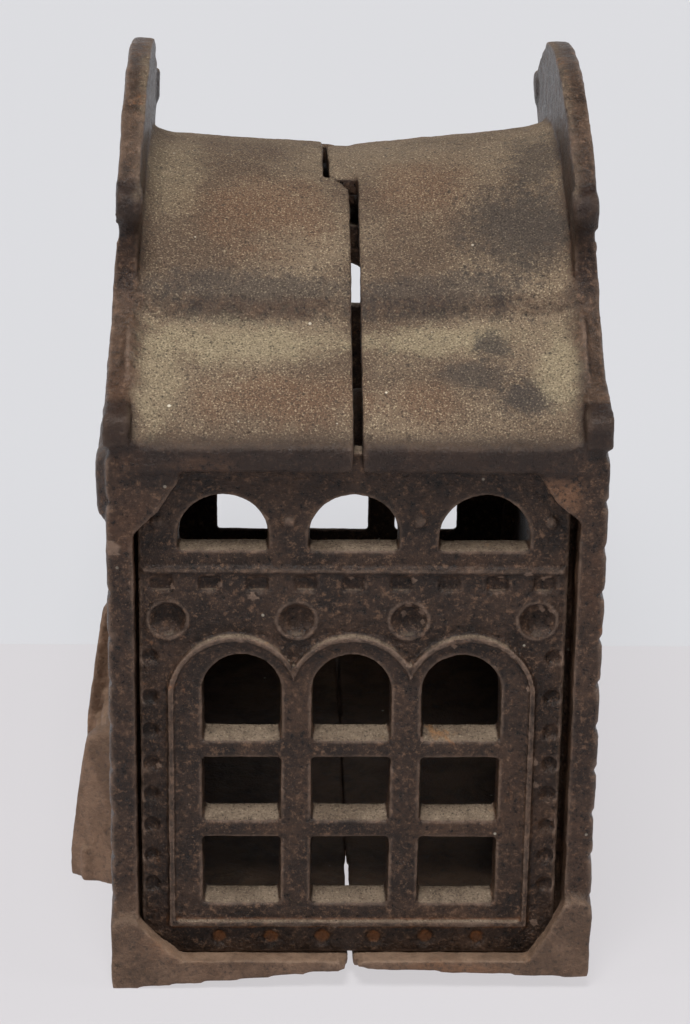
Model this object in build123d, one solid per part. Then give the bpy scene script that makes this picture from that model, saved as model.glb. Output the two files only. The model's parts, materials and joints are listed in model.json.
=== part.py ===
from build123d import *
import os

os.makedirs("parts", exist_ok=True)

# Cast iron still bank in the shape of a long two-storey hall.
# X runs through the thickness of the bank, from the street facade (low X) to the rear facade.
# Y runs along the facades, Z is up from the ground. The model is built about the middle plane
# between the facades, with heights from the underside of the rear half at its near end, and is
# moved at the end so that the origin is at the centre of its foot. The halves don't quite line up:
# the street half stands lower, and the rear half stands on its far end.

# ---- driving dimensions, millimetres ----
LENGTH = 105.0                  # along each facade
HEIGHT = 111.8                  # peak of the gable parapets
WIDTH = 62.6                    # outer face to outer face of the facades, over the quoins
QUOIN_PROUD = 0.5               # how far the corner stones stand out of a facade
WALL = 3.0                      # facade thickness
ROOF_THICKNESS = 2.6
EAVE = 71.4                     # underside of the eave fascia
NOSING = 75.2                   # top of the eave nosing
RIDGE = 100.4                   # level that the ridge's sags are measured from
RIDGE_SAG = 3.3                 # how much lower the ridge is at the seam
CREASE = 85.6                   # where the two tiers of the roof meet, before it sags
CREASE_IN = 19.5                # how far the crease is from the end of the bank
CREASE_SAG = 1.2                # how much lower the crease is at the seam
STREET_SAGS = (1.5, 0.9)        # the same for ridge and crease at the street facade
REAR_SAGS = (0.1, 0.2)
ROOF_SEAM = 1.2                 # gap between the halves at the roof
BASE_SEAM = 1.1                 # gap between the halves at the sills
FLOOR_SEAM = 0.5                # gap between the floors near the ends, where they don't quite meet
FLOOR_JOINT = 0.16              # gap between the floors further in
PLINTH_PROUD = 1.2              # the plinth stands this far out of the pilasters above it
PLINTH_OUT = 0.7                # and this far out of the facades
STREET_PLINTH = 8.2             # top of the plinth on the street half
REAR_PLINTH = 11.2
FOOT_DROP = 1.4                 # how far the street half reaches below the rear half's near end
LIP_TOP = 2.8                   # top of the sill that holds the foot of a side panel
LIP_DEPTH = 2.6
FLOOR_TOP = 2.0
FLOOR_THICKNESS = 1.4
FRAME_DEPTH = 2.2               # thickness of the fascia and the corner gussets
PANEL_FACE = 3.4                # from the end of the bank to the face of a side panel
PANEL_THICKNESS = 2.8
PANEL_HALF_WIDTH = 27.1
PANEL_FOOT = 2.2
PANEL_TOP = 73.2
PANEL_SHIFT = 0.3               # a side panel sits this much nearer to the street facade
PANEL_PLAY = 0.7                # gap between a side panel and the ribs behind it
COLUMN_PITCH = 14.05            # the three columns of windows in a side panel
WINDOW_WIDTH = 10.2
WINDOW_ROWS = ((9.8, 19.6), (22.0, 31.1))       # foot and head of the two square rows
ARCH_FOOT = 33.5
ARCH_SPRING = 40.6
LARGE_DIMPLES = (-23.4, -7.1, 7.1, 23.4)
LUNETTE_PITCH = 16.4
LUNETTE_WIDTH = 11.5
LUNETTE_FOOT = 60.0
LUNETTE_SPRING = 61.8
LUNETTE_RISE = 0.5
SILL_RISE = 1.1                 # the sills climb this much towards the inside
SCREW_HEIGHT = 59.3             # axis of the tie screw above the ground
POST_RADIUS = 4.2               # the posts round the screw
SCREW_RADIUS = 2.0
SCREW_RUNNING_GAP = 0.06
STEPS_PROUD = 7.3               # how far the entrance stands out of the street facade
LEAN_FROM = 74.6                # the parapets above this lean inwards
LEAN_AXIS = 91.0                # level at which the lean doesn't move them
LEAN = 2.4                      # degrees
FIELD_FOOT = 83.0               # the gable field above this is sunk inside a moulding
FIELD_DEPTH = 0.45
SLOT_START = 17.6               # the coin slot's near end, from the middle of the ridge
SLOT_LENGTH = 27.0              # for a coin up to 25 mm
SLOT_WIDTH = 3.4
RIDGE_TAB_REACH = 3.2           # how far the rear half's tab crosses the middle at the ridge
RIDGE_TAB_FRONT = 7.2           # how far down the near slope the tab comes
NUT_SIZE = 7.4
NUT_THICKNESS = 3.2
NUT_GAP = 0.15

# ---- worked out from those ----
END = -LENGTH / 2               # the near end of the bank
OUTER = WIDTH / 2 - QUOIN_PROUD  # outer face of a facade
INNER = OUTER - WALL
OVERLAP = 0.4                   # how far pieces of one casting run into each other
FRAME_Y = END + PLINTH_PROUD    # face of the pilasters, gussets and fascia
PANEL_Y = END + PANEL_FACE
PANEL_BACK = PANEL_Y + PANEL_THICKNESS
COLUMNS = (-COLUMN_PITCH, 0.0, COLUMN_PITCH)
NUT_START = INNER - 4.5         # the nut's near face, from the middle plane


def block(x, y, z):
    """Box between two X, two Y and two Z values."""
    size = Box(x[1] - x[0], y[1] - y[0], z[1] - z[0])
    return Pos((x[0] + x[1]) / 2, (y[0] + y[1]) / 2, (z[0] + z[1]) / 2) * size


def rod(radius, x, y, z):
    """Round bar along X between two X values."""
    return Pos((x[0] + x[1]) / 2, y, z) * Rot(0, 90, 0) * Cylinder(radius, x[1] - x[0])


def both_ends(shape):
    """A shape at the near end, and its mirror image at the far end."""
    return shape + mirror(shape, about=Plane.XZ)


def side_plate(points, y, thickness):
    """Plate facing along Y, from an outline of (x, z) points, from y inwards."""
    face = make_face(Polyline(*points, close=True))
    return extrude(Plane((0, y, 0), x_dir=(1, 0, 0), z_dir=(0, -1, 0)) * face, -thickness)


# ---- the gable walls ----

def facade_outline(plinth_top):
    """Near half of a facade as a face in Y and Z, from the corner to the middle."""
    edge = FRAME_Y
    knob = END + 0.1
    shoulder = END + CREASE_IN + 0.2
    corner = [
        Line((0, -FOOT_DROP), (END, -FOOT_DROP)),
        Line((END, -FOOT_DROP), (END, plinth_top)),
        Line((END, plinth_top), (edge, plinth_top + 1.4)),
        Line((edge, plinth_top + 1.4), (edge, 74.4)),
        Line((edge, 74.4), (knob, 75.2)),
        Line((knob, 75.2), (knob, 77.8)),
        ThreePointArc((knob, 77.8), (knob + 0.4, 78.8), (knob + 1.4, 79.2)),
    ]
    sweep = Spline((knob + 1.4, 79.2), (END + 11, 81.7), (shoulder - 0.9, 86.0),
                   tangents=((1, 0.1), (1, 0.65)))
    scroll = [
        ThreePointArc((shoulder - 0.9, 86.0), (shoulder + 2.0, 91.2), (shoulder + 1.6, 96.0)),
        Line((shoulder + 1.6, 96.0), (shoulder + 0.6, 97.6)),
        Line((shoulder + 0.6, 97.6), (shoulder, 100.1)),
        ThreePointArc((shoulder, 100.1), (shoulder + 0.4, 101.1), (shoulder + 1.4, 101.5)),
        Line((shoulder + 1.4, 101.5), (shoulder + 2.6, 101.7)),
    ]
    crest = Spline((shoulder + 2.6, 101.7), (END + 26, 104.1), (END + 34, 108.2), (END + 43, 111.0),
                   (0, HEIGHT), tangents=((1, 0.95), (1, 0.0)))
    middle = Line((0, HEIGHT), (0, -FOOT_DROP))
    return make_face(Wire(corner + [sweep] + scroll + [crest, middle]))


def scroll_ends():
    """Rolled ends of the parapet's mouldings at the near end, at the eaves and at the shoulders."""
    rolls = []
    for y, z in ((END + 2.45, 76.9), (END + CREASE_IN + 2.5, 99.1)):
        roll = rod(2.4, (INNER - 0.4, OUTER - 0.25), y, z)
        rolls.append(fillet(roll.edges().filter_by(GeomType.CIRCLE), 0.5))
    return rolls


def facade_wall(plinth_top):
    """Whole facade: upright to the eaves, then a leaning parapet with a field sunk inside its moulding."""
    outline = facade_outline(plinth_top)
    near_half = extrude(Plane.YZ.offset(INNER) * outline, WALL)
    field = extrude(Plane.YZ.offset(OUTER - FIELD_DEPTH) * (Pos(0.8, -1.8) * outline), 2)
    near_half -= field & block((0, 2 * OUTER), (END - 1, 1), (FIELD_FOOT, HEIGHT + 1))
    upright = near_half & block((0, 2 * OUTER), (END - 1, 1), (-FOOT_DROP - 1, LEAN_FROM + 0.3))
    parapet = near_half & block((0, 2 * OUTER), (END - 1, 1), (LEAN_FROM, HEIGHT + 1))
    parapet = (parapet + scroll_ends()).rotate(Axis((OUTER, 0, LEAN_AXIS), (0, 1, 0)), -LEAN)
    plinth = block((OUTER - OVERLAP, OUTER + PLINTH_OUT), (END, 0), (-FOOT_DROP, plinth_top))
    plinth = chamfer(plinth.faces().sort_by(Axis.X)[-1].edges().sort_by(Axis.Z)[-1], 0.5)
    return both_ends(upright + parapet + plinth)


# ---- the roof ----

def roof_section(ridge_sag, crease_sag, lift=0.0):
    """Near half of the roof's section as a face in Y and Z; lift raises only its upper side."""
    eave = FRAME_Y - 0.5
    crease = END + CREASE_IN
    riser = crease + 1.8
    riser_top = CREASE + 3.3 - crease_sag
    nosing = NOSING + lift * 0.6
    swell = END + 31
    swell_top = 95.0 - ridge_sag * 0.75
    inside = FRAME_Y + FRAME_DEPTH
    outer = [
        Line((inside, EAVE), (eave, EAVE)),
        Line((eave, EAVE), (eave, nosing - 1.2)),
        ThreePointArc((eave, nosing - 1.2), (eave + 0.4, nosing - 0.3), (eave + 1.4, nosing)),
        Spline((eave + 1.4, nosing), (END + 9, 80.1 + lift), (crease, CREASE - crease_sag + lift),
               tangents=((1, 0.95), (1, 0.3))),
        Line((crease, CREASE - crease_sag + lift), (riser, riser_top + lift)),
        Spline((riser, riser_top + lift), (swell, swell_top + lift), (0, RIDGE - ridge_sag + lift),
               tangents=((1, 0.8), (1, 0.0))),
    ]
    under = RIDGE - ridge_sag - ROOF_THICKNESS
    inner = [
        Line((0, RIDGE - ridge_sag + lift), (0, under)),
        Spline((0, under), (swell + 0.6, swell_top - ROOF_THICKNESS),
               (riser + 1.8, riser_top - 1.6), tangents=((-1, 0.0), (-1, -0.8))),
        Line((riser + 1.8, riser_top - 1.6), (crease + 1.4, CREASE - crease_sag - 2.4)),
        Spline((crease + 1.4, CREASE - crease_sag - 2.4), (END + 10, 78.0), (inside + 0.6, 73.9)),
        Line((inside + 0.6, 73.9), (inside, 73.4)),
        Line((inside, 73.4), (inside, EAVE)),
    ]
    return make_face(Wire(outer + inner))


def roof_half(wall_sags):
    """Half of the roof: the ridge falls towards the seam, and the skin curves up into the parapet."""
    seam = ROOF_SEAM / 2
    wall = INNER + 1.2
    sections = []
    for x, lift in ((seam, 0.0), (INNER - 3.2, 0.0), (INNER - 1.3, 0.4), (wall, 1.6)):
        along = (wall - x) / (wall - seam)
        ridge_sag = wall_sags[0] + (RIDGE_SAG - wall_sags[0]) * along
        crease_sag = wall_sags[1] + (CREASE_SAG - wall_sags[1]) * along
        sections.append(Plane.YZ.offset(x) * roof_section(ridge_sag, crease_sag, lift))
    return both_ends(loft(sections, ruled=True))


# ---- the base and the frames that hold the side panels ----

def base_half(foot_heights, gusset):
    """Half of the floor with its sill; the sill's foot has one height at the seam, one at the facade."""
    width, height = gusset
    at_seam, at_wall = foot_heights
    seam = BASE_SEAM / 2
    foot = [(seam, at_seam), (INNER + OVERLAP, at_wall), (INNER + OVERLAP, LIP_TOP + height),
            (INNER, LIP_TOP + height), (INNER - width * 0.55, LIP_TOP + height * 0.38),
            (INNER - width, LIP_TOP), (seam + 0.9, LIP_TOP), (seam, LIP_TOP - 0.9)]
    sill = side_plate(foot, END, LIP_DEPTH)
    levels = (FLOOR_TOP - FLOOR_THICKNESS, FLOOR_TOP)
    joined = END + 30
    floor = block((FLOOR_SEAM / 2, INNER + OVERLAP), (END + LIP_DEPTH - OVERLAP, joined + OVERLAP), levels)
    floor += block((FLOOR_JOINT / 2, INNER + OVERLAP), (joined, OVERLAP), levels)
    return both_ends(sill + floor)


def upper_gusset(width, height):
    """Corner web under the eave, in front of the top corner of a side panel."""
    outline = [(INNER + OVERLAP, EAVE + 1), (INNER + OVERLAP, EAVE - height),
               (INNER, EAVE - height), (INNER - width * 0.5, EAVE - height * 0.62),
               (INNER - width, EAVE), (INNER - width, EAVE + 1)]
    return both_ends(side_plate(outline, FRAME_Y, FRAME_DEPTH))


def panel_ribs():
    """Ribs inside a facade that keep the side panels from falling inwards."""
    rib_y = PANEL_BACK + PANEL_PLAY
    return both_ends(block((INNER - 2.2, INNER + OVERLAP), (rib_y, rib_y + 1.6), (FLOOR_TOP - 0.3, 72)))


# ---- ornament on the facades ----

def quoins():
    """Corner stones up both outer corners of a facade, alternately long and short."""
    count = 11
    pitch = 6.2
    start = 5.2
    stones = []
    for row in range(count):
        reach = 7.6 if row % 2 == 0 else 5.2
        low = start + row * pitch
        stone = block((OUTER - OVERLAP, OUTER + QUOIN_PROUD), (FRAME_Y, FRAME_Y + reach),
                      (low + 0.45, low + pitch - 0.45))
        outer_edges = stone.faces().sort_by(Axis.X)[-1].edges()
        stones.append(both_ends(fillet(outer_edges, 0.4)))
    return stones


def arch_face(width, foot, spring):
    """Round-headed opening as a face in Y and Z, centred on Y = 0."""
    radius = width / 2
    return make_face(Wire([
        Line((-radius, foot), (radius, foot)),
        Line((radius, foot), (radius, spring)),
        ThreePointArc((radius, spring), (0, spring + radius), (-radius, spring)),
        Line((-radius, spring), (-radius, foot)),
    ]))


def blind_arch(width, foot, spring, proud):
    """Raised round-headed frame and the sunk panel inside it: what to add, what to cut."""
    margin = 1.1
    outside = Plane.YZ.offset(OUTER - OVERLAP) * arch_face(width + 2 * margin, foot - margin, spring)
    inside = Plane.YZ.offset(OUTER - 0.7) * arch_face(width, foot, spring)
    return extrude(outside, OVERLAP + proud), extrude(inside, 3)


def windows(foot, height, offsets):
    """A row of blind windows with a middle bar, as lists of what to add and what to cut."""
    width = 8.4
    spring = foot + height - width / 2
    add, cut, bars = [], [], []
    for offset in offsets:
        frame, sink = blind_arch(width, foot, spring, 0.45)
        add.append(Pos(0, offset, 0) * frame)
        cut.append(Pos(0, offset, 0) * sink)
        bars.append(block((OUTER - 1, OUTER + 0.1), (offset - 0.5, offset + 0.5), (foot - 0.2, spring + width / 2)))
        bars.append(block((OUTER - 1, OUTER + 0.1), (offset - width / 2, offset + width / 2),
                          (foot + height * 0.45 - 0.5, foot + height * 0.45 + 0.5)))
    return add, cut, bars


def ledge(y, z, proud):
    """String course along a facade, with rounded long edges."""
    strip = block((OUTER - OVERLAP, OUTER + proud), y, z)
    long_edges = strip.faces().sort_by(Axis.X)[-1].edges().filter_by(Axis.Y)
    return fillet(long_edges, 0.3)


def gable_roundel():
    """Round boss with two rings, high in the gable."""
    centre = 95.0
    rings = rod(6.4, (OUTER - 1, OUTER + 0.2), 0, centre)
    rings -= rod(5.2, (OUTER - FIELD_DEPTH, OUTER + 2), 0, centre)
    return rings + rod(3.0, (OUTER - 1, OUTER + 0.1), 0, centre)


def entrance():
    """Steps up to the street facade, between two low walls that splay out from it."""
    half_wall = 26.3
    half_front = 21.4
    thick = 3.2
    top = 22.3
    front = OUTER + QUOIN_PROUD + STEPS_PROUD
    back = OUTER - OVERLAP
    plan = make_face(Polyline((back, -half_wall), (front, -half_front), (front, -half_front + thick),
                              (back, -half_wall + thick), close=True))
    low_wall = extrude(Plane.XY.offset(-FOOT_DROP) * plan, top + FOOT_DROP)
    batter = make_face(Wire([
        Line((front + 0.01, -3), (front + 2, -3)),
        Line((front + 2, -3), (front + 2, top + 1)),
        Line((front + 2, top + 1), (OUTER + 2.2, top + 1)),
        Line((OUTER + 2.2, top + 1), (OUTER + 2.2, top)),
        ThreePointArc((OUTER + 2.2, top), (OUTER + 3.9, top - 0.8), (front - 2.4, top - 2.8)),
        Spline((front - 2.4, top - 2.8), (front - 0.9, top - 13), (front + 0.01, 2.5)),
        Line((front + 0.01, 2.5), (front + 0.01, -3)),
    ]))
    low_wall -= extrude(Plane.XZ.offset(-half_wall - 1) * batter, 2 * half_wall + 2)
    count = 5
    rise = 3.7
    tread = 1.15
    inner_half = half_wall - thick + 0.6
    flight = [block((back, OUTER + 6.3 - row * tread), (-inner_half, inner_half),
                    (row * rise - FOOT_DROP, (row + 1) * rise)) for row in range(count)]
    return both_ends(low_wall) + flight


def hollow_behind_steps():
    """Coring behind the steps, open to the inside, so that the metal stays evenly thin."""
    section = make_face(Polyline((INNER - 1, 4.0), (OUTER + 2.4, 4.0), (OUTER - 0.6, 18.0), (INNER - 1, 18.0),
                                 close=True))
    return extrude(Plane.XZ.offset(-19) * section, 38)


def street_ornament():
    add, cut, bars = windows(31.0, 25.0, (-36.5, -24.5, 24.5, 36.5))
    door_frame, door_sink = blind_arch(14.0, 26.4, 46.5, 0.7)
    add += quoins() + [door_frame, gable_roundel(), entrance()]
    add.append(ledge((FRAME_Y + 0.3, -FRAME_Y - 0.3), (59.9, 61.5), 0.55))
    add += [block((OUTER - OVERLAP, OUTER + 0.7), (side * 14 - 1.6, side * 14 + 1.6), (26, 60.1))
            for side in (-1, 1)]
    board = block((OUTER - OVERLAP, OUTER + 1.7), (END + 3.5, -END - 3.5), (64.0, 72.6))
    add.append(fillet(board.faces().sort_by(Axis.X)[-1].edges(), 1.2))
    bars.append(block((OUTER - 1, OUTER + 0.2), (-0.6, 0.6), (26.2, 53.4)))
    return add, cut + [door_sink], bars


def rear_ornament():
    low = windows(12.0, 19.0, (-36.5, -22, -7.5, 7.5, 22, 36.5))
    high = windows(38.0, 19.0, (-36.5, -22, 22, 36.5))
    add = quoins() + low[0] + high[0] + [gable_roundel()]
    add.append(ledge((FRAME_Y + 0.3, -FRAME_Y - 0.3), (33.6, 35.2), 0.5))
    add.append(ledge((FRAME_Y + 0.3, -FRAME_Y - 0.3), (62.6, 64.2), 0.5))
    add.append(rod(7.5, (OUTER - OVERLAP, OUTER + 0.5), 0, SCREW_HEIGHT - 8.5))
    return add, low[1] + high[1], low[2] + high[2]


# ---- the two castings ----

def coin_slot():
    """Half of the coin slot, which lies along the seam on the far slope of the roof."""
    return block((-5, SLOT_WIDTH / 2), (SLOT_START, SLOT_START + SLOT_LENGTH), (74, HEIGHT))


def half_casting(plinth_top, foot_heights, wall_sags, gussets, ornament):
    """One half of the bank: facade, half roof, half base, gussets and ribs, all one casting."""
    add, cut, bars = ornament
    lower, upper = gussets
    body = facade_wall(plinth_top) + roof_half(wall_sags) + base_half(foot_heights, lower)
    body = body + upper_gusset(*upper) + panel_ribs()
    body = body - coin_slot() + rod(POST_RADIUS, (ROOF_SEAM / 2, INNER + OVERLAP), 0, SCREW_HEIGHT)
    body = (body + add) - cut
    return body + bars


def street_casting():
    """The street half, with a pocket for the nut, open at the top, and a notch in the ridge with a worn corner."""
    body = half_casting(STREET_PLINTH, (1.2, -FOOT_DROP), STREET_SAGS, ((5.7, 5.6), (6.4, 8.6)),
                        street_ornament())
    body -= hollow_behind_steps()
    half_nut = NUT_SIZE / 2 + NUT_GAP
    boss = half_nut + 1.8
    body += block((INNER - 6.4, INNER + OVERLAP), (-boss, boss), (SCREW_HEIGHT - boss, SCREW_HEIGHT + boss))
    body -= block((NUT_START - NUT_GAP, NUT_START + NUT_THICKNESS + NUT_GAP), (-half_nut, half_nut),
                  (SCREW_HEIGHT - half_nut, SCREW_HEIGHT + boss + 1))
    body -= rod(SCREW_RADIUS + 0.25, (0, INNER + 1.2), 0, SCREW_HEIGHT)
    body -= block((-2, RIDGE_TAB_REACH + 0.7), (-RIDGE_TAB_FRONT - 0.7, SLOT_START + 0.1), (85, HEIGHT))
    corner = make_face(Polyline((0, -RIDGE_TAB_FRONT - 0.6), (0, -RIDGE_TAB_FRONT - 3.8),
                                (2.6, -RIDGE_TAB_FRONT - 0.6), close=True))
    body -= extrude(Plane.XY.offset(85) * corner, 30)
    return mirror(body, about=Plane.YZ)


def ridge_tab():
    """Tongue of the rear half that crosses the seam from near the ridge to the coin slot."""
    dip = 0.3                   # how far it lies below the skin of the roof
    section = Plane.YZ.offset(-RIDGE_TAB_REACH) * roof_section(RIDGE_SAG, CREASE_SAG)
    strip = both_ends(extrude(section, RIDGE_TAB_REACH + ROOF_SEAM / 2 + 0.6))
    strip &= block((-OUTER, OUTER), (-RIDGE_TAB_FRONT, SLOT_START - 0.6), (84, HEIGHT))
    return Pos(0, 0, -dip) * strip


def floor_tongue():
    """Strip of the rear floor that runs on under the street half's floor, so that no dust falls through."""
    span = (END + 34, -END - LIP_DEPTH - 1)
    low = FLOOR_TOP - FLOOR_THICKNESS
    return (block((-1.6, 3.0), span, (low - 0.75, low - 0.15))
            + block((0.5, 3.0), span, (low - 0.75, low + 0.3)))


def rear_casting():
    """The rear half, with the tab at the ridge and the hole for the tie screw."""
    body = half_casting(REAR_PLINTH, (1.6, 0.4), REAR_SAGS, ((4.4, 8.6), (5.8, 6.6)), rear_ornament())
    beneath = Polyline((END - 1, -FOOT_DROP - 1), (END - 1, 0.3), (-END - 1, -FOOT_DROP),
                       (-END - 1, -FOOT_DROP - 1), close=True)
    body -= extrude(Plane.YZ.offset(INNER - 1) * make_face(beneath), 2 * WALL)
    body += floor_tongue()
    body -= rod(SCREW_RADIUS + SCREW_RUNNING_GAP, (0, OUTER + 4), 0, SCREW_HEIGHT)
    return body + ridge_tab()


# ---- the side panels ----

def front_plane(y):
    """Plane facing out of the near end, with X to the right and Z up."""
    return Plane((0, y, 0), x_dir=(1, 0, 0), z_dir=(0, -1, 0))


def opening_face(width, foot, head, arched):
    """Window outline in X and Z: square-headed with eased corners, or round-headed."""
    half = width / 2
    if arched:
        return make_face(Wire([
            Line((-half, foot), (half, foot)),
            Line((half, foot), (half, head)),
            ThreePointArc((half, head), (0, head + half), (-half, head)),
            Line((-half, head), (-half, foot)),
        ]))
    return make_face(Polyline((-half, foot), (half, foot), (half, head), (-half, head), close=True))


def window_cut(centre, width, foot, head, arched, sill_rise):
    """Tapered hole through a panel: narrower and with a higher sill at the back."""
    outside = front_plane(PANEL_Y - 0.01) * Pos(centre, 0) * opening_face(width, foot, head, arched)
    back_width = width - 0.5
    inside = front_plane(PANEL_BACK + 0.01) * Pos(centre, 0) * opening_face(
        back_width, foot + sill_rise, head, arched)
    return loft([outside, inside], ruled=True)


def raised(face, proud):
    """Flat relief on the face of a panel."""
    return extrude(front_plane(PANEL_Y + 0.3) * face, 0.3 + proud)


def window_surround():
    """Raised field with three round heads that holds the three columns of windows."""
    radius = 8.55
    spring = 39.95
    foot = 6.5
    bead = 0.75
    centres = (-COLUMN_PITCH - 0.9, 0.0, COLUMN_PITCH + 0.9)
    heads = [Pos(x, 0) * opening_face(2 * radius, foot, spring, True) for x in centres]
    outer = heads[0] + heads[1] + heads[2]
    heads = [Pos(x, 0) * opening_face(2 * (radius - bead), foot + bead, spring, True) for x in centres]
    inner = heads[0] + heads[1] + heads[2]
    return raised(outer - inner, 0.9) + raised(inner, 0.25)


def dimple(x, z, radius, depth):
    """Shallow spherical hollow in the face of a panel."""
    ball = (radius * radius + depth * depth) / (2 * depth)
    return Pos(x, PANEL_Y - ball + depth, z) * Sphere(ball)


def dimple_rims():
    """Low rings round the four large hollows."""
    return [raised(Pos(x, 50.5) * (Circle(2.75) - Circle(2.1)), 0.22) for x in LARGE_DIMPLES]


def dimples():
    side_heights = (45.3, 39.7, 34.8, 30.1, 25.7, 21.2, 16.7, 12.5)
    hollows = [dimple(x, 50.5, 2.25, 1.2) for x in LARGE_DIMPLES]
    hollows += [dimple(side * 25.7, z, 1.15, 0.75) for side in (-1, 1) for z in side_heights]
    hollows += [dimple(x, 4.5, 1.2, 0.8) for x in (-17, -10.2, -3.4, 3.4, 10.2, 17)]
    return hollows


def dentils():
    """Row of small sunk squares under the string course."""
    count = 9
    pitch = 6.05
    middle = (count - 1) / 2
    return [block(((i - middle) * pitch - 1.4, (i - middle) * pitch + 1.4),
                  (PANEL_Y - 0.1, PANEL_Y + 0.6), (54.5, 56.4)) for i in range(count)]


def side_panel():
    """Pierced panel that closes one end: windows below, three lunettes above."""
    plate = block((-PANEL_HALF_WIDTH, PANEL_HALF_WIDTH), (PANEL_Y, PANEL_BACK), (PANEL_FOOT, PANEL_TOP))
    course = block((-PANEL_HALF_WIDTH + 0.6, PANEL_HALF_WIDTH - 0.6), (PANEL_Y - 0.45, PANEL_Y + 0.3), (57.0, 57.7))
    bosses = [Pos(x, PANEL_Y + 0.5, 64.0) * Sphere(1.1) for x in (-24.6, -8.2, 8.2, 24.6)]
    body = plate + window_surround() + course + bosses + dimple_rims()
    body = body - dimples() - dentils()
    holes = []
    for x in COLUMNS:
        for foot, head in WINDOW_ROWS:
            holes.append(window_cut(x, WINDOW_WIDTH, foot, head, False, SILL_RISE))
        holes.append(window_cut(x, WINDOW_WIDTH, ARCH_FOOT, ARCH_SPRING, True, SILL_RISE))
    for x in (-LUNETTE_PITCH, 0.0, LUNETTE_PITCH):
        holes.append(window_cut(x, LUNETTE_WIDTH, LUNETTE_FOOT, LUNETTE_SPRING, True, LUNETTE_RISE))
    proud_cut = [extrude(front_plane(PANEL_Y + 0.05) * Pos(x, 0) * opening_face(WINDOW_WIDTH, foot, head, arched), 2.5)
                 for x in COLUMNS
                 for foot, head, arched in (WINDOW_ROWS[0] + (False,), WINDOW_ROWS[1] + (False,),
                                            (ARCH_FOOT, ARCH_SPRING, True))]
    return Pos(-PANEL_SHIFT, 0, 0) * (body - holes - proud_cut)


# ---- the tie screw and its nut ----

def tie_screw():
    """Long screw with a slotted cheese head, through both halves above the middle of the floor."""
    head_radius = 4.0
    head_height = 2.6
    seat = OUTER + QUOIN_PROUD + 0.02
    tip = -INNER - 0.6
    shank = rod(SCREW_RADIUS, (tip, seat), 0, SCREW_HEIGHT)
    head = rod(head_radius, (seat, seat + head_height), 0, SCREW_HEIGHT)
    head = fillet(head.faces().sort_by(Axis.X)[-1].edges(), 0.5)
    slot = block((seat + head_height - 1.2, seat + 5), (-5, 5), (SCREW_HEIGHT - 0.5, SCREW_HEIGHT + 0.5))
    return shank + head - slot


def tie_nut():
    """Square nut, held from turning by its pocket in the street half."""
    blank = block((NUT_START, NUT_START + NUT_THICKNESS), (-NUT_SIZE / 2, NUT_SIZE / 2),
                  (SCREW_HEIGHT - NUT_SIZE / 2, SCREW_HEIGHT + NUT_SIZE / 2))
    blank -= rod(SCREW_RADIUS + SCREW_RUNNING_GAP, (NUT_START - 1, NUT_START + 5), 0, SCREW_HEIGHT)
    return mirror(blank, about=Plane.YZ)


parts = {
    "front_casting": street_casting(),
    "back_casting": rear_casting(),
    "near_side_panel": side_panel(),
    "far_side_panel": mirror(side_panel(), about=Plane.XZ),
    "tie_screw": tie_screw(),
    "tie_nut": tie_nut(),
}

boxes = [shape.bounding_box() for shape in parts.values()]
low_x = min(box.min.X for box in boxes)
high_x = max(box.max.X for box in boxes)
to_origin = Pos(-(low_x + high_x) / 2, 0, FOOT_DROP)
for name, shape in parts.items():
    export_step(to_origin * shape, f"parts/{name}.step")
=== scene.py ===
"""Cast iron still bank: the looks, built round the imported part.

Everything is in metres, in the part's own frame.
"""

import json
import math

import bmesh
import bpy
import numpy as np
from mathutils import Matrix, Vector

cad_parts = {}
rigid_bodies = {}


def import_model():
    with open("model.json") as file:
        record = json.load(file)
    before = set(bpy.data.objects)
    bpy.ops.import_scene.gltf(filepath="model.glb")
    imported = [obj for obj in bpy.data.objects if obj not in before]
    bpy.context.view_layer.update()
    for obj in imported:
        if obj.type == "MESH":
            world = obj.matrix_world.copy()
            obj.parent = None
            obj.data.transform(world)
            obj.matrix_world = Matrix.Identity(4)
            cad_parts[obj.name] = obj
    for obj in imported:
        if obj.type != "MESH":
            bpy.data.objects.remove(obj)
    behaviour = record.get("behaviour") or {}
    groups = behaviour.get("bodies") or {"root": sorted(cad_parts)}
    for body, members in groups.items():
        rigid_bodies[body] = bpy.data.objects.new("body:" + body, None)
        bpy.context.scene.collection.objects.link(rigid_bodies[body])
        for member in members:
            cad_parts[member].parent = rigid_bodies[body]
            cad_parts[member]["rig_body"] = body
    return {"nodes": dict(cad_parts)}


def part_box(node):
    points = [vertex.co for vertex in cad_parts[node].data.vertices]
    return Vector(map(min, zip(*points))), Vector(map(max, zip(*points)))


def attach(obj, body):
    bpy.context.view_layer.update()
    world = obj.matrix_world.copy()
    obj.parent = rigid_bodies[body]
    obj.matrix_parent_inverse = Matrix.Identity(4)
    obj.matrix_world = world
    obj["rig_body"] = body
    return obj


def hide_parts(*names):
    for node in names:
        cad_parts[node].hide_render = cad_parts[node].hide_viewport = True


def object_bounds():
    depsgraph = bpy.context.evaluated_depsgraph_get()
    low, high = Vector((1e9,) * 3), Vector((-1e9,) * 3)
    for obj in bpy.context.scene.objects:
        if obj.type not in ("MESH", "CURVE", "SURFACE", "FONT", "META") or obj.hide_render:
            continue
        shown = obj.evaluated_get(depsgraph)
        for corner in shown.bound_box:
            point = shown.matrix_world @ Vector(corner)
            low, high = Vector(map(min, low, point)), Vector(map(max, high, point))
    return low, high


MM = 0.001

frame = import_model()
cad_low, cad_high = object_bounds()

scene = bpy.context.scene


# ---- where things are ----

REAR_FACE = 31.5 * MM                   # the rear half's outermost face, from the middle
rear_low, rear_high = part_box("back_casting")
MIDDLE_X = rear_high.x - REAR_FACE      # the plane between the two facades
NEAR_Y = rear_low.y                     # the end that faces the camera


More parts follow.
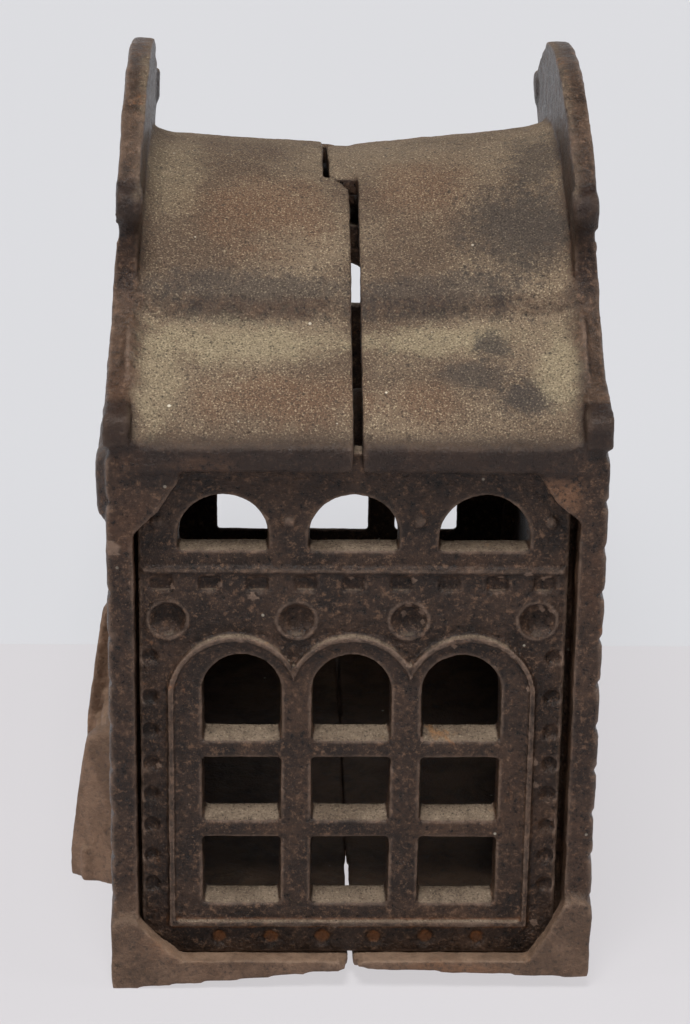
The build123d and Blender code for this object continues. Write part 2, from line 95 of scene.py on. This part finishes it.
# ---- camera ----

LENS = 72.66                            # mm, for a picture 24 mm high
YAW, PITCH, ROLL = 1.46, 22.38, 0.81    # degrees: to the right, down, and about the line of sight
CAMERA_LEFT = 10.6 * MM                 # from the middle
CAMERA_BACK = 354 * MM                  # from the near end
CAMERA_HEIGHT = 213.9 * MM


def make_camera():
    """Stands in front of the near end and a little to its left, looking down on the roof."""
    data = bpy.data.cameras.new("camera")
    data.sensor_fit = "VERTICAL"
    data.sensor_height = 24.0
    data.lens = LENS
    data.clip_start = 0.01
    data.clip_end = 20.0
    camera = bpy.data.objects.new("camera", data)
    scene.collection.objects.link(camera)
    yaw, pitch, roll = math.radians(YAW), math.radians(PITCH), math.radians(ROLL)
    turn = (Matrix.Rotation(-yaw, 4, "Z") @ Matrix.Rotation(math.pi / 2 - pitch, 4, "X")
            @ Matrix.Rotation(roll, 4, "Z"))
    place = Matrix.Translation((MIDDLE_X - CAMERA_LEFT, NEAR_Y - CAMERA_BACK, CAMERA_HEIGHT))
    camera.matrix_world = place @ turn
    scene.camera = camera


# ---- shader building ----

class Shader:
    """A short way to wire a node material."""

    def __init__(self, name):
        self.material = bpy.data.materials.new(name)
        self.material.use_nodes = True
        self.tree = self.material.node_tree
        self.bsdf = self.tree.nodes["Principled BSDF"]
        coordinates = self.tree.nodes.new("ShaderNodeTexCoord")
        self.place = coordinates.outputs["Object"]
        self.place_xyz = self.split(self.place)
        self.geometry = self.tree.nodes.new("ShaderNodeNewGeometry")

    def link(self, source, socket):
        """Joins an output to an input, or sets the input's value."""
        if isinstance(source, bpy.types.NodeSocket):
            self.tree.links.new(source, socket)
        else:
            socket.default_value = source

    def noise(self, size, detail=4.0, rough=0.6, offset=0.0, warp=0.0):
        """Noise whose features are about size metres across; 0 to 1."""
        node = self.tree.nodes.new("ShaderNodeTexNoise")
        node.noise_dimensions = "4D"
        node.inputs["W"].default_value = offset
        node.inputs["Scale"].default_value = 1 / size
        node.inputs["Detail"].default_value = detail
        node.inputs["Roughness"].default_value = rough
        node.inputs["Distortion"].default_value = warp
        self.tree.links.new(self.place, node.inputs["Vector"])
        return node.outputs["Fac"]

    def specks(self, size):
        """Distance to scattered points about size metres apart, in units of that spacing."""
        node = self.tree.nodes.new("ShaderNodeTexVoronoi")
        node.inputs["Scale"].default_value = 1 / size
        self.tree.links.new(self.place, node.inputs["Vector"])
        return node.outputs["Distance"], node.outputs["Color"]

    def ramp(self, value, low, high, out_low=0.0, out_high=1.0):
        """Smooth step of a value from low to high."""
        node = self.tree.nodes.new("ShaderNodeMapRange")
        node.interpolation_type = "SMOOTHSTEP"
        node.inputs["From Min"].default_value = low
        node.inputs["From Max"].default_value = high
        node.inputs["To Min"].default_value = out_low
        node.inputs["To Max"].default_value = out_high
        self.tree.links.new(value, node.inputs["Value"])
        return node.outputs["Result"]

    def math(self, operation, a, b=0.0):
        node = self.tree.nodes.new("ShaderNodeMath")
        node.operation = operation
        self.link(a, node.inputs[0])
        self.link(b, node.inputs[1])
        return node.outputs[0]

    def mix(self, factor, a, b):
        """Blend of two colours; a and b are outputs or (r, g, b)."""
        node = self.tree.nodes.new("ShaderNodeMix")
        node.data_type = "RGBA"
        self.link(factor, node.inputs["Factor"])
        self.link(a if isinstance(a, bpy.types.NodeSocket) else (*a, 1), node.inputs["A"])
        self.link(b if isinstance(b, bpy.types.NodeSocket) else (*b, 1), node.inputs["B"])
        return node.outputs["Result"]

    def split(self, vector):
        node = self.tree.nodes.new("ShaderNodeSeparateXYZ")
        self.tree.links.new(vector, node.inputs[0])
        return node.outputs

    def bump(self, height, distance, strength=1.0, below=None):
        node = self.tree.nodes.new("ShaderNodeBump")
        node.inputs["Strength"].default_value = strength
        node.inputs["Distance"].default_value = distance
        self.tree.links.new(height, node.inputs["Height"])
        if below is not None:
            self.tree.links.new(below, node.inputs["Normal"])
        return node.outputs["Normal"]

    def finish(self, colour, roughness, normal, metallic=0.0, specular=0.5):
        self.link(colour, self.bsdf.inputs["Base Color"])
        self.link(roughness, self.bsdf.inputs["Roughness"])
        self.link(normal, self.bsdf.inputs["Normal"])
        self.link(metallic, self.bsdf.inputs["Metallic"])
        self.bsdf.inputs["Specular IOR Level"].default_value = specular
        return self.material


# colours of the paint and of what lies on it
CASTING_PAINT = ((0.020, 0.0105, 0.0070), (0.056, 0.0300, 0.0185), (0.088, 0.0420, 0.0230))
PANEL_PAINT = ((0.016, 0.0088, 0.0060), (0.050, 0.0275, 0.0175), (0.074, 0.0380, 0.0215))
WORN_GRAIN = (0.170, 0.096, 0.058)
PITS = (0.006, 0.004, 0.003)
FLECKS = (0.215, 0.130, 0.080)
RUBBED_EDGE = (0.330, 0.225, 0.165)
ORANGE_RUST = (0.330, 0.125, 0.040)
PALE_SPECK = (0.80, 0.72, 0.58)


def japanning(s, seed, dark, brown, russet):
    """Worn brown-black paint on rough cast iron: colour, and the noises that the layers above it share."""
    n = {
        "broad": s.noise(15 * MM, 5, 0.6, seed),
        "patches": s.noise(5.0 * MM, 6, 0.70, seed + 2, 0.4),
        "grain": s.noise(0.75 * MM, 4, 0.74, seed + 4),
        "fleck": s.noise(0.34 * MM, 2, 0.6, seed + 5),
        "sand": s.noise(0.24 * MM, 2, 0.6, seed + 6),
        "rust": s.noise(6.5 * MM, 6, 0.70, seed + 9, 0.6),
        "pointed": s.geometry.outputs["Pointiness"],
    }
    colour = s.mix(s.ramp(n["patches"], 0.36, 0.64), dark, brown)
    colour = s.mix(s.ramp(n["broad"], 0.48, 0.70, 0.0, 0.7), colour, russet)
    colour = s.mix(s.ramp(n["grain"], 0.52, 0.68, 0.0, 0.80), colour, WORN_GRAIN)
    colour = s.mix(s.ramp(n["grain"], 0.48, 0.34, 0.0, 0.90), colour, PITS)
    colour = s.mix(s.ramp(n["fleck"], 0.59, 0.74, 0.0, 0.55), colour, FLECKS)
    return colour, n


def wear_and_rust(s, colour, n, amount):
    """Edges rubbed bare, and blooms of orange rust."""
    edge = s.math("MULTIPLY", s.ramp(n["pointed"], 0.510, 0.560),
                  s.ramp(n["patches"], 0.28, 0.56, 0.25, 1.0))
    colour = s.mix(s.math("MULTIPLY", edge, amount), colour, RUBBED_EDGE)
    bloom = s.math("MULTIPLY", s.ramp(n["rust"], 0.62, 0.73), s.ramp(n["grain"], 0.36, 0.58))
    colour = s.mix(s.math("MULTIPLY", bloom, 0.6), colour, ORANGE_RUST)
    return colour, edge


def pale_specks(s, colour, cover):
    """Single light specks, a few millimetres apart."""
    distance, pick = s.specks(3.0 * MM)
    picked = s.ramp(s.split(pick)["X"], 0.78, 0.84)
    speck = s.math("MULTIPLY", s.ramp(distance, 0.085, 0.05), picked)
    return s.mix(s.math("MULTIPLY", speck, cover), colour, PALE_SPECK)


def cast_skin(s, seed, n, sandiness):
    """Unevenness of the cast surface, finer than the mesh shows."""
    normal = s.bump(s.noise(2.0 * MM, 5, 0.68, seed + 12), 0.55 * MM, 0.75)
    normal = s.bump(n["grain"], 0.42 * MM, 0.9, normal)
    rough_sand = s.math("MULTIPLY", n["sand"], sandiness)
    return s.bump(rough_sand, 0.28 * MM, 0.9, normal)


def blotch(s, centre, reach, wander, amount, across="Y"):
    """Soft-edged irregular patch round a point, in mm from the middle of the bank.

    It is laid out as seen from above or, with across="Z", as seen from the end.
    """
    shift = s.math("MULTIPLY", s.math("SUBTRACT", wander, 0.5), 2.2)
    x = s.math("SUBTRACT", s.place_xyz["X"], MIDDLE_X + centre[0] * MM)
    y = s.math("SUBTRACT", s.place_xyz[across], centre[1] * MM)
    x = s.math("DIVIDE", x, reach[0] * MM)
    y = s.math("DIVIDE", y, reach[1] * MM)
    away = s.math("SQRT", s.math("ADD", s.math("MULTIPLY", x, x), s.math("MULTIPLY", y, y)))
    return s.ramp(s.math("ADD", away, shift), 1.2, 0.4, 0.0, amount)


ROOF_EDGE = 27.4 * MM           # the parapets' inner faces, from the middle
ROOF_FOOT = 75.4 * MM           # height of the eave
STREET_FACE = 30.8 * MM         # the street facade, from the middle

# patches of the roof: (x, y) of the centre, (x, y) reach, colour, strength
SANDY = (0.330, 0.262, 0.165)
RUSSET = (0.185, 0.105, 0.062)
SOOTY = (0.062, 0.050, 0.043)
ROOF_PATCHES = (
    ((-12.0, -17.0), (11.0, 9.0), RUSSET, 0.80),
    ((-23.5, -9.0), (5.0, 12.0), SANDY, 0.35),
    ((-13.0, -30.8), (16.0, 3.0), SOOTY, 0.70),
    ((-14.0, -37.0), (16.0, 4.0), SANDY, 0.85),
    ((-9.0, -45.0), (12.0, 4.0), RUSSET, 0.70),
    ((-25.0, -42.0), (3.5, 8.0), SANDY, 0.60),
    ((9.0, -12.0), (8.0, 9.0), RUSSET, 0.65),
    ((24.0, -8.0), (5.0, 9.0), SOOTY, 0.60),
    ((21.0, -22.0), (8.5, 9.5), SOOTY, 0.80),
    ((10.0, -30.8), (12.0, 2.6), SOOTY, 0.60),
    ((11.0, -36.5), (12.0, 3.0), SANDY, 0.80),
    ((17.0, -37.5), (3.2, 2.6), SOOTY, 0.85),
    ((15.0, -42.0), (5.5, 2.6), SOOTY, 0.75),
    ((21.5, -45.3), (5.5, 2.6), SOOTY, 0.85),
    ((25.5, -41.0), (3.2, 7.0), SANDY, 0.85),
    ((8.0, -46.0), (6.0, 3.5), RUSSET, 0.60),
    ((0.0, 20.0), (24.0, 14.0), RUSSET, 0.45),
    ((14.0, 36.0), (9.0, 6.0), SANDY, 0.60),
    ((-15.0, 42.0), (10.0, 5.0), SOOTY, 0.60),
)

# rust on the near face: (x, z) of the centre, (x, z) reach
RUST_STAINS = (
    ((24.5, 69.5), (4.0, 4.0)),
    ((-19.0, 73.5), (4.5, 2.0)),
    ((12.0, 2.5), (9.0, 2.0)),
    ((-22.0, 7.0), (5.0, 3.0)),
)


# the rolled ends of the parapets: (distance along from the middle, height)
SCROLL_CENTRES = ((50.0, 78.2), (30.5, 100.4))


def near_scroll(s, centre):
    """Mask round a rolled end of the parapets, at both ends of the bank."""
    along = s.math("SUBTRACT", s.math("ABSOLUTE", s.place_xyz["Y"]), centre[0] * MM)
    up = s.math("SUBTRACT", s.place_xyz["Z"], centre[1] * MM)
    away = s.math("SQRT", s.math("ADD", s.math("MULTIPLY", along, along), s.math("MULTIPLY", up, up)))
    return s.ramp(away, 4.2 * MM, 2.8 * MM)


def casting_material():
    """The two halves: dark paint, and a roof thick with dust and sandy scale between its parapets."""
    s = Shader("japanned_iron_castings")
    colour, n = japanning(s, 0.0, *CASTING_PAINT)
    facing = s.split(s.geometry.outputs["Normal"])
    height = s.place_xyz["Z"]
    colour, edge = wear_and_rust(s, colour, n, 0.55)
    ragged = s.math("MULTIPLY", s.math("SUBTRACT", n["patches"], 0.5), 3.5 * MM)

    # the paint is thin and rusty brown round the foot; the entrance is painted lighter still, partly for its
    # thin rusty paint and partly as painted light, as if it caught light from above
    foot = s.ramp(s.math("ADD", height, s.math("MULTIPLY", ragged, 2.0)), 16 * MM, 9 * MM, 0.0, 0.50)
    out_from_wall = s.math("SUBTRACT", MIDDLE_X - STREET_FACE, s.place_xyz["X"])
    entrance = s.math("MULTIPLY", s.ramp(out_from_wall, 0.8 * MM, 2.2 * MM, 0.0, 0.85),
                      s.ramp(height, 34 * MM, 29 * MM))
    thin_paint_and_lit_entrance = s.math("MAXIMUM", foot, entrance)
    thin_paint_and_lit_entrance = s.math("MULTIPLY", thin_paint_and_lit_entrance, s.ramp(n["grain"], 0.30, 0.50, 0.45, 1.0))
    bare_and_lit_brown = s.mix(s.ramp(n["patches"], 0.4, 0.6), (0.185, 0.112, 0.072), (0.300, 0.186, 0.122))
    # lighter brown round the foot and on the entrance: thin paint, and on the entrance painted light as well
    colour = s.mix(thin_paint_and_lit_entrance, colour, bare_and_lit_brown)
    towards = s.ramp(facing["Y"], 0.2, -0.3)
    for centre, reach in RUST_STAINS:
        stain = s.math("MULTIPLY", blotch(s, centre, reach, n["patches"], 0.6, "Z"), towards)
        stain = s.math("MULTIPLY", stain, s.ramp(n["grain"], 0.36, 0.56))
        colour = s.mix(stain, colour, (0.250, 0.125, 0.066))

    # painted shade: the eave's face under its nosing is darkened nearly to black where it faces the near end,
    # and so are the rolled ends of the parapets, partly for their own dark paint and partly as painted shade
    # beneath them
    from_middle = s.math("ABSOLUTE", s.math("SUBTRACT", s.place_xyz["X"], MIDDLE_X))
    eave_painted_shade = s.math("MULTIPLY", s.ramp(height, 70.5 * MM, 72.8 * MM), s.ramp(height, 78.0 * MM, 76.5 * MM))
    eave_painted_shade = s.math("MULTIPLY", s.math("MULTIPLY", eave_painted_shade, s.ramp(from_middle, 28.0 * MM, 26.0 * MM)), towards)
    scrolls = s.math("MAXIMUM", near_scroll(s, SCROLL_CENTRES[0]), near_scroll(s, SCROLL_CENTRES[1]))
    scrolls = s.math("MULTIPLY", scrolls, s.ramp(from_middle, 26.6 * MM, 27.4 * MM))
    # nearly black: painted shade under the nosing and round the rolled ends, over the rolled ends' dark paint
    colour = s.mix(s.math("MULTIPLY", s.math("MAXIMUM", eave_painted_shade, scrolls), 0.7), colour, (0.022, 0.013, 0.010))

    # dust and scale cover what faces up between the parapets
    between = s.ramp(s.math("ADD", from_middle, ragged), ROOF_EDGE + 1.3 * MM, ROOF_EDGE - 1.2 * MM)
    on_roof = s.math("MULTIPLY", between, s.ramp(height, ROOF_FOOT + 0.6 * MM, ROOF_FOOT + 2.4 * MM))
    up = s.ramp(facing["Z"], 0.25, 0.70)
    cover = s.math("MULTIPLY", s.math("MULTIPLY", up, on_roof), s.ramp(n["grain"], 0.22, 0.42, 0.6, 1.0))

    dust = s.mix(s.ramp(n["broad"], 0.36, 0.64), (0.135, 0.090, 0.060), (0.235, 0.170, 0.112))
    wander = s.math("ADD", n["patches"], s.math("MULTIPLY", s.math("SUBTRACT", n["grain"], 0.5), 0.8))
    for centre, reach, patch, amount in ROOF_PATCHES:
        dust = s.mix(blotch(s, centre, reach, wander, amount), dust, patch)
    sandy = s.ramp(s.split(dust)["X"], 0.07, 0.22, 0.35, 1.0)
    dust = s.mix(s.math("MULTIPLY", s.ramp(n["sand"], 0.54, 0.70, 0.0, 0.8), sandy), dust, (0.62, 0.50, 0.33))
    dust = s.mix(s.ramp(n["sand"], 0.48, 0.32, 0.0, 0.85), dust, (0.035, 0.024, 0.018))
    dust = s.mix(s.ramp(n["grain"], 0.47, 0.30, 0.0, 0.75), dust, (0.048, 0.034, 0.026))
    colour = s.mix(cover, colour, dust)

    # the ledges carry a film, thickest round the foot; the tops of the parapets are nearly bare
    low_ledge = s.ramp(height, 16 * MM, 10 * MM, 0.14, 0.60)
    film = s.math("MULTIPLY", s.math("MULTIPLY", up, low_ledge), s.ramp(n["patches"], 0.35, 0.65, 0.35, 1.0))
    film = s.math("MULTIPLY", film, s.math("SUBTRACT", 1.0, s.math("MAXIMUM", on_roof, scrolls)))
    colour = s.mix(film, colour, (0.300, 0.200, 0.132))
    colour = pale_specks(s, colour, s.ramp(facing["Z"], 0.1, 0.5, 0.25, 0.95))

    dusty = s.math("MAXIMUM", cover, s.math("MAXIMUM", film, thin_paint_and_lit_entrance))
    roughness = s.math("ADD", s.ramp(n["grain"], 0.25, 0.75, 0.22, 0.50), s.math("MULTIPLY", dusty, 0.42))
    normal = cast_skin(s, 0.0, n, s.ramp(cover, 0.0, 1.0, 0.35, 1.0))
    return s.finish(colour, roughness, normal, s.math("MULTIPLY", edge, 0.2), 0.3)


def panel_material():
    """The window panels: darker paint, with dust lying on the sills."""
    s = Shader("japanned_iron_panels")
    colour, n = japanning(s, 31.0, *PANEL_PAINT)
    facing = s.split(s.geometry.outputs["Normal"])
    colour, edge = wear_and_rust(s, colour, n, 0.6)

    # rust sits in the hollows of the lowest row
    hollow = s.math("MULTIPLY", s.ramp(n["pointed"], 0.495, 0.46), s.ramp(s.place_xyz["Z"], 10 * MM, 7 * MM))
    colour = s.mix(s.math("MULTIPLY", hollow, 0.8), colour, (0.300, 0.120, 0.045))

    # dust lies on the sills
    dust = s.mix(s.ramp(n["patches"], 0.36, 0.64), (0.150, 0.106, 0.072), (0.255, 0.190, 0.132))
    dust = s.mix(s.ramp(n["sand"], 0.56, 0.74, 0.0, 0.6), dust, (0.45, 0.36, 0.25))
    dust = s.mix(s.ramp(n["sand"], 0.47, 0.30, 0.0, 0.85), dust, (0.045, 0.032, 0.024))
    dust = s.mix(s.ramp(n["rust"], 0.60, 0.70, 0.0, 0.6), dust, (0.400, 0.190, 0.070))
    cover = s.math("MULTIPLY", s.ramp(facing["Z"], 0.62, 0.95), s.ramp(n["grain"], 0.24, 0.5, 0.5, 1.0))
    colour = s.mix(cover, colour, dust)
    colour = pale_specks(s, colour, 0.35)
    roughness = s.math("ADD", s.ramp(n["grain"], 0.25, 0.75, 0.24, 0.52), s.math("MULTIPLY", cover, 0.40))
    normal = cast_skin(s, 31.0, n, s.ramp(cover, 0.0, 1.0, 0.35, 1.0))
    return s.finish(colour, roughness, normal, s.math("MULTIPLY", edge, 0.2), 0.3)


def steel_material():
    """Browned steel of the tie screw and its nut, with fine turning marks."""
    s = Shader("browned_steel")
    stains = s.noise(2.6 * MM, 5, 0.65, 3.0)
    marks = s.noise(0.35 * MM, 2, 0.5, 5.0)
    colour = s.mix(s.ramp(stains, 0.35, 0.65), (0.12, 0.095, 0.08), (0.26, 0.21, 0.17))
    colour = s.mix(s.ramp(s.noise(4 * MM, 6, 0.7, 8.0), 0.60, 0.72, 0.0, 0.7), colour, (0.22, 0.095, 0.04))
    normal = s.bump(marks, 0.06 * MM, 0.5)
    return s.finish(colour, s.ramp(stains, 0.3, 0.7, 0.32, 0.6), normal, 0.85, 0.5)


# ---- cast surfaces from the CAD nodes ----

def refined(node, name, voxel, smoothing, waves, most_triangles, material):
    """A cast version of a CAD node: rounded edges and an uneven skin, as one closed mesh."""
    source = frame["nodes"][node]
    mesh = source.data.copy()
    mesh.materials.clear()
    builder = bmesh.new()
    builder.from_mesh(mesh)
    bmesh.ops.remove_doubles(builder, verts=builder.verts, dist=1e-6)
    builder.to_mesh(mesh)
    builder.free()
    piece = bpy.data.objects.new(name, mesh)
    scene.collection.objects.link(piece)
    remesh = piece.modifiers.new("remesh", "REMESH")
    remesh.mode = "VOXEL"
    remesh.voxel_size = voxel
    remesh.use_smooth_shade = True
    if smoothing:
        smooth = piece.modifiers.new("smooth", "SMOOTH")
        smooth.factor = 0.5
        smooth.iterations = smoothing
    for number, (size, strength) in enumerate(waves):
        texture = bpy.data.textures.new(f"{name}_{number}", "CLOUDS")
        texture.noise_scale = size
        texture.noise_depth = 2
        displace = piece.modifiers.new("skin", "DISPLACE")
        displace.texture = texture
        displace.texture_coords = "LOCAL"
        displace.strength = strength
        displace.mid_level = 0.5
    piece = settle(piece)
    triangles = 2 * len(piece.data.polygons)
    if triangles > most_triangles:
        thin_paint_and_lit_entrance = piece.modifiers.new("thin_paint_and_lit_entrance", "DECIMATE")
        thin_paint_and_lit_entrance.ratio = most_triangles / triangles
        piece = settle(piece)
    keep_in_box(piece.data)
    piece.data.polygons.foreach_set("use_smooth", [True] * len(piece.data.polygons))
    piece.data.materials.append(material)
    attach(piece, source["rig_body"])
    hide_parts(node)
    return piece


def settle(piece):
    """Applies a piece's modifiers to its mesh."""
    bpy.context.view_layer.update()
    graph = bpy.context.evaluated_depsgraph_get()
    mesh = bpy.data.meshes.new_from_object(piece.evaluated_get(graph))
    piece.modifiers.clear()
    piece.data = mesh
    return piece


def keep_in_box(mesh):
    """Keeps the uneven skin inside the part's own box."""
    points = np.zeros(len(mesh.vertices) * 3, np.float32)
    mesh.vertices.foreach_get("co", points)
    points = np.clip(points.reshape(-1, 3), np.array(cad_low, np.float32), np.array(cad_high, np.float32))
    mesh.vertices.foreach_set("co", points.ravel())
    mesh.update()


# ---- surroundings ----

def pale_material(name, colour, glow):
    """Plain pale surface that is lit mostly from within, so that shadows on it stay faint."""
    s = Shader(name)
    shade = s.mix(s.ramp(s.noise(0.3, 2, 0.5, 1.0), 0.3, 0.7), colour, tuple(c * 0.985 for c in colour))
    s.bsdf.inputs["Roughness"].default_value = 0.9
    s.bsdf.inputs["Specular IOR Level"].default_value = 0.1
    s.link(shade, s.bsdf.inputs["Base Color"])
    s.link(shade, s.bsdf.inputs["Emission Color"])
    s.bsdf.inputs["Emission Strength"].default_value = glow
    return s.material


def make_surroundings():
    """A pale table, and a pale backdrop that rises behind it."""
    back = NEAR_Y + 0.108
    rise = math.radians(24)
    far = (back + 2 * math.cos(rise), 2 * math.sin(rise))
    sheets = (
        ("table", [(-3, -2, 0), (3, -2, 0), (3, back, 0), (-3, back, 0)], (0.140, 0.136, 0.140), 4.15),
        ("backdrop", [(-3, back, 0), (3, back, 0), (3, *far), (-3, *far)], (0.140, 0.1405, 0.1455), 4.15),
    )
    for name, corners, colour, glow in sheets:
        mesh = bpy.data.meshes.new(name)
        mesh.from_pydata(corners, [], [(0, 1, 2, 3)])
        mesh.materials.append(pale_material(name, colour, glow))
        thing = bpy.data.objects.new(name, mesh)
        scene.collection.objects.link(thing)


def soft_light(name, place, target, size, power):
    """A rectangular lamp at a place, turned towards a target."""
    data = bpy.data.lights.new(name, "AREA")
    data.shape = "RECTANGLE"
    data.size, data.size_y = size
    data.energy = power
    lamp = bpy.data.objects.new(name, data)
    scene.collection.objects.link(lamp)
    lamp.location = place
    lamp.rotation_mode = "QUATERNION"
    lamp.rotation_quaternion = (Vector(target) - Vector(place)).to_track_quat("-Z", "Y")


def make_lights():
    """One key lamp above and in front, weak ones round it, and a faint sky."""
    centre = (MIDDLE_X, 0, 0.05)
    soft_light("key", (MIDDLE_X - 0.06, -0.34, 0.88), centre, (0.30, 0.30), 6.8)
    soft_light("left", (-0.9, -0.35, 0.5), centre, (0.3, 0.6), 2.2)
    soft_light("right", (0.9, -0.25, 0.5), centre, (0.3, 0.6), 2.2)
    soft_light("front", (0.1, -1.0, 0.6), centre, (0.6, 0.4), 0.7)
    world = bpy.data.worlds.new("world")
    world.use_nodes = True
    world.node_tree.nodes["Background"].inputs["Color"].default_value = (0.93, 0.94, 1.0, 1)
    world.node_tree.nodes["Background"].inputs["Strength"].default_value = 0.12
    scene.world = world
    scene.view_settings.view_transform = "Standard"


# ---- the bank ----

CASTING_VOXEL = 0.42 * MM
PANEL_VOXEL = 0.27 * MM
MOST_TRIANGLES = 190000

make_camera()
make_surroundings()
make_lights()

casting_iron = casting_material()
panel_iron = panel_material()
steel = steel_material()

coarse = 1.0
# (size, height) of each layer of unevenness
casting_waves = ((9 * MM, 0.35 * MM), (3.5 * MM, 0.20 * MM), (1.6 * MM, 0.12 * MM), (0.8 * MM, 0.07 * MM))
panel_waves = ((7 * MM, 0.22 * MM), (1.6 * MM, 0.10 * MM), (0.8 * MM, 0.05 * MM))
for node, name in (("front_casting", "street_half"), ("back_casting", "rear_half")):
    refined(node, name, CASTING_VOXEL * coarse, 5, casting_waves, MOST_TRIANGLES, casting_iron)
for node, name in (("near_side_panel", "near_window_panel"), ("far_side_panel", "far_window_panel")):
    refined(node, name, PANEL_VOXEL * coarse, 2, panel_waves, MOST_TRIANGLES, panel_iron)

for node in ("tie_screw", "tie_nut"):
    thing = frame["nodes"][node]
    thing.data.materials.clear()
    thing.data.materials.append(steel)
